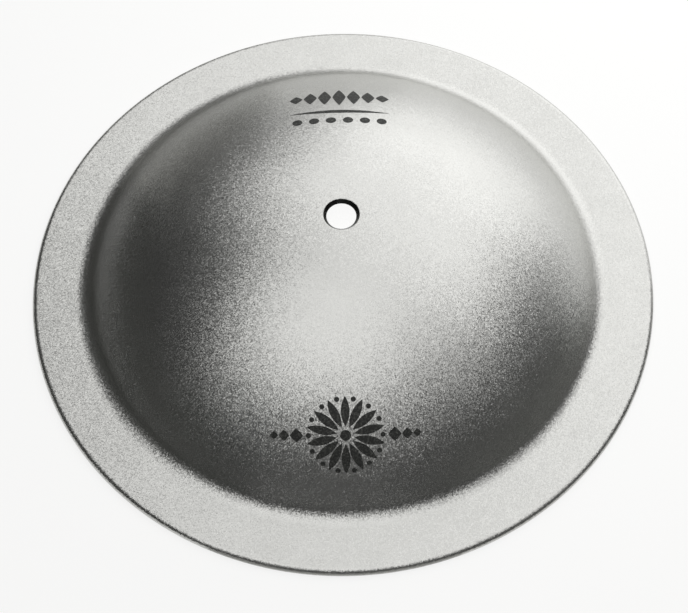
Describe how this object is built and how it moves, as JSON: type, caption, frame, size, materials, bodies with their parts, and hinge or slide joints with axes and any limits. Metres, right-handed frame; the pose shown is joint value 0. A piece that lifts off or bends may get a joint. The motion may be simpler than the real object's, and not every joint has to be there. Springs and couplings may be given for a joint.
{
  "type": "bell cymbal",
  "caption": "Round bell cymbal: a thick disc with a large domed bell, a flat rim and a centre hole for a stand's rod, struck for a clear bell tone.",
  "frame": {"origin": "centre of the rim's underside, on the axis of the hole", "axes": "+Z along the axis of the hole, out of the top of the bell; -Y towards the viewer of the picture, +X to the viewer's right"},
  "size_m": [0.28, 0.28, 0.0598],
  "materials": {
    "blasted_aluminium": "bead-blasted, bare, matte",
    "print_ink": "thin matte dark-grey ink"
  },
  "bodies": {
    "root": {"bell_disc": "blasted_aluminium"}
  },
  "joints": []
}
